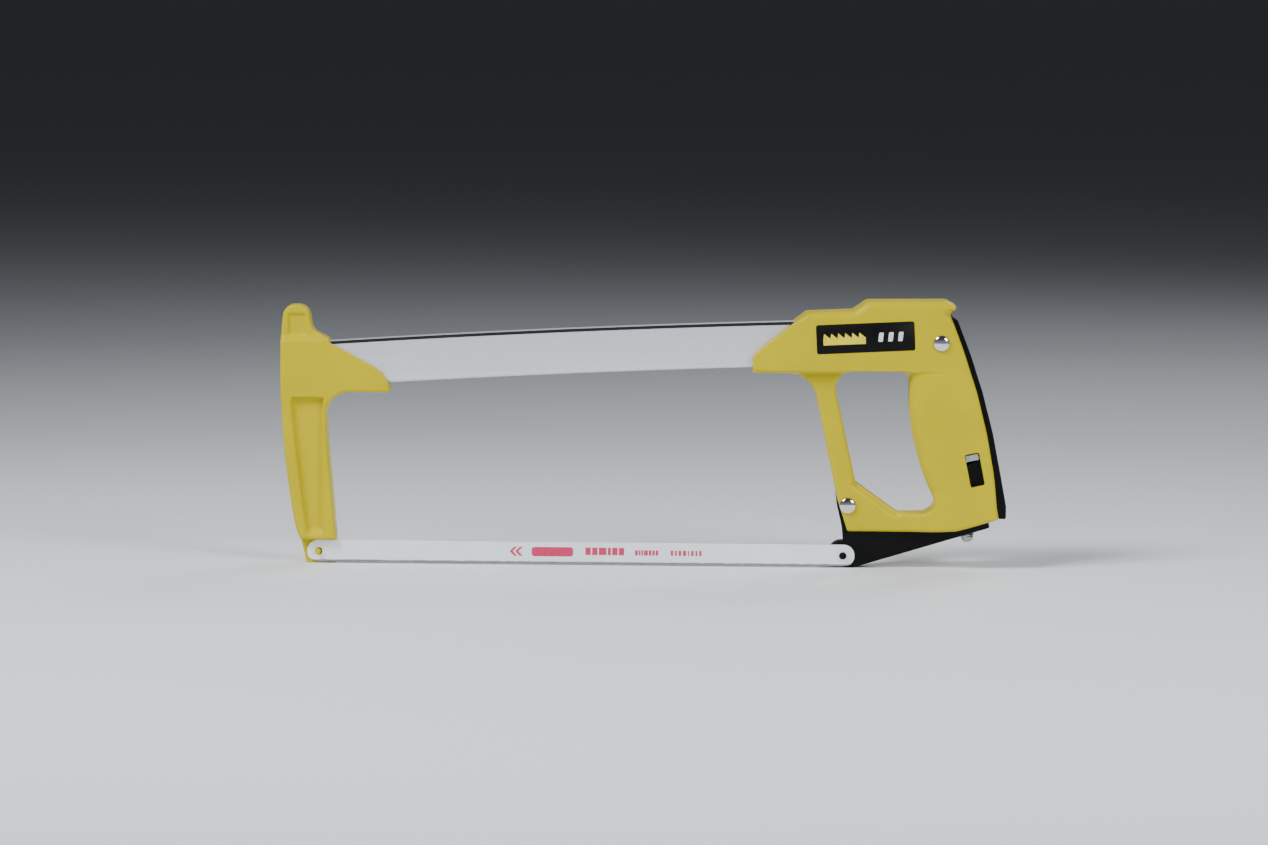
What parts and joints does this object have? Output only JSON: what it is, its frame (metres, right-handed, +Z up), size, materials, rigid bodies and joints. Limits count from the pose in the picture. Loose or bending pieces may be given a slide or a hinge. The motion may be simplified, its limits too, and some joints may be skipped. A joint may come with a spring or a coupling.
{
  "type": "hacksaw",
  "caption": "Pistol-grip hacksaw with a tubular spine, a quick-release tension lever and a replaceable blade.",
  "frame": {"origin": "bottom centre of the part's box, on the surface the saw stands on", "axes": "+X along the blade from the front bracket to the handle, +Y away from the side that carries the blade, +Z up"},
  "size_m": [0.4126, 0.0336, 0.1532],
  "materials": {
    "yellow_paint": "yellow powder coat on an aluminium die casting",
    "yellow_pin": "yellow paint on a steel pin",
    "silver_tube": "satin silver lacquer on a steel tube",
    "black_label": "black label",
    "black_paint": "black paint on pressed steel",
    "black_pin": "blackened steel pin",
    "chrome": "bright plated steel",
    "steel": "bare steel",
    "blade_paint": "pale painted steel with bare teeth"
  },
  "bodies": {
    "frame": {"front_bracket": "yellow_paint", "front_blade_pin": "yellow_pin", "spine_tube": "silver_tube", "handle": "yellow_paint", "label_plate_near": "black_label", "label_plate_far": "black_label", "upper_pivot_rivet": "chrome", "lower_pivot_rivet": "chrome"},
    "lever": {"tension_lever": "black_paint", "crank_pin": "steel"},
    "draw_link": {"draw_link_near": "steel", "draw_link_far": "steel", "link_spacer": "steel", "nut_pin": "steel", "tension_nut": "steel"},
    "screw": {"tension_screw": "chrome", "screw_washer": "chrome"},
    "arm": {"tension_arm": "black_paint", "rear_blade_pin": "black_pin"},
    "blade": {"blade": "blade_paint"}
  },
  "joints": [
    {"name": "lever_swing", "type": "hinge", "parent": "frame", "child": "lever", "pos_m": [0.1693, 0, 0.1296], "axis": [0, -1, 0], "range_deg": [0, 35]},
    {"name": "crank_turn", "type": "hinge", "parent": "lever", "child": "draw_link", "pos_m": [0.16313, 0, 0.13024], "axis": [0, -1, 0], "range_deg": [-35.1, 0]},
    {"name": "screw_turn", "type": "hinge", "parent": "draw_link", "child": "screw", "pos_m": [0.1857, 0, 0.0197], "axis": [0.2, 0, -0.9798], "range_deg": [0, 720]},
    {"name": "arm_swing", "type": "hinge", "parent": "frame", "child": "arm", "pos_m": [0.1174, 0, 0.0361], "axis": [0, 1, 0], "range_deg": [0, 3.37]},
    {"name": "blade_slack", "type": "slide", "parent": "frame", "child": "blade", "axis": [-1, 0, 0], "range_m": [0, 0.00087]}
  ],
  "couplings": [
    {"joint": "crank_turn", "follows": "lever_swing", "ratio": -1},
    {"joint": "arm_swing", "follows": "lever_swing", "ratio": 0.095916},
    {"joint": "blade_slack", "follows": "lever_swing", "m_per_rad": 0.0014084}
  ]
}
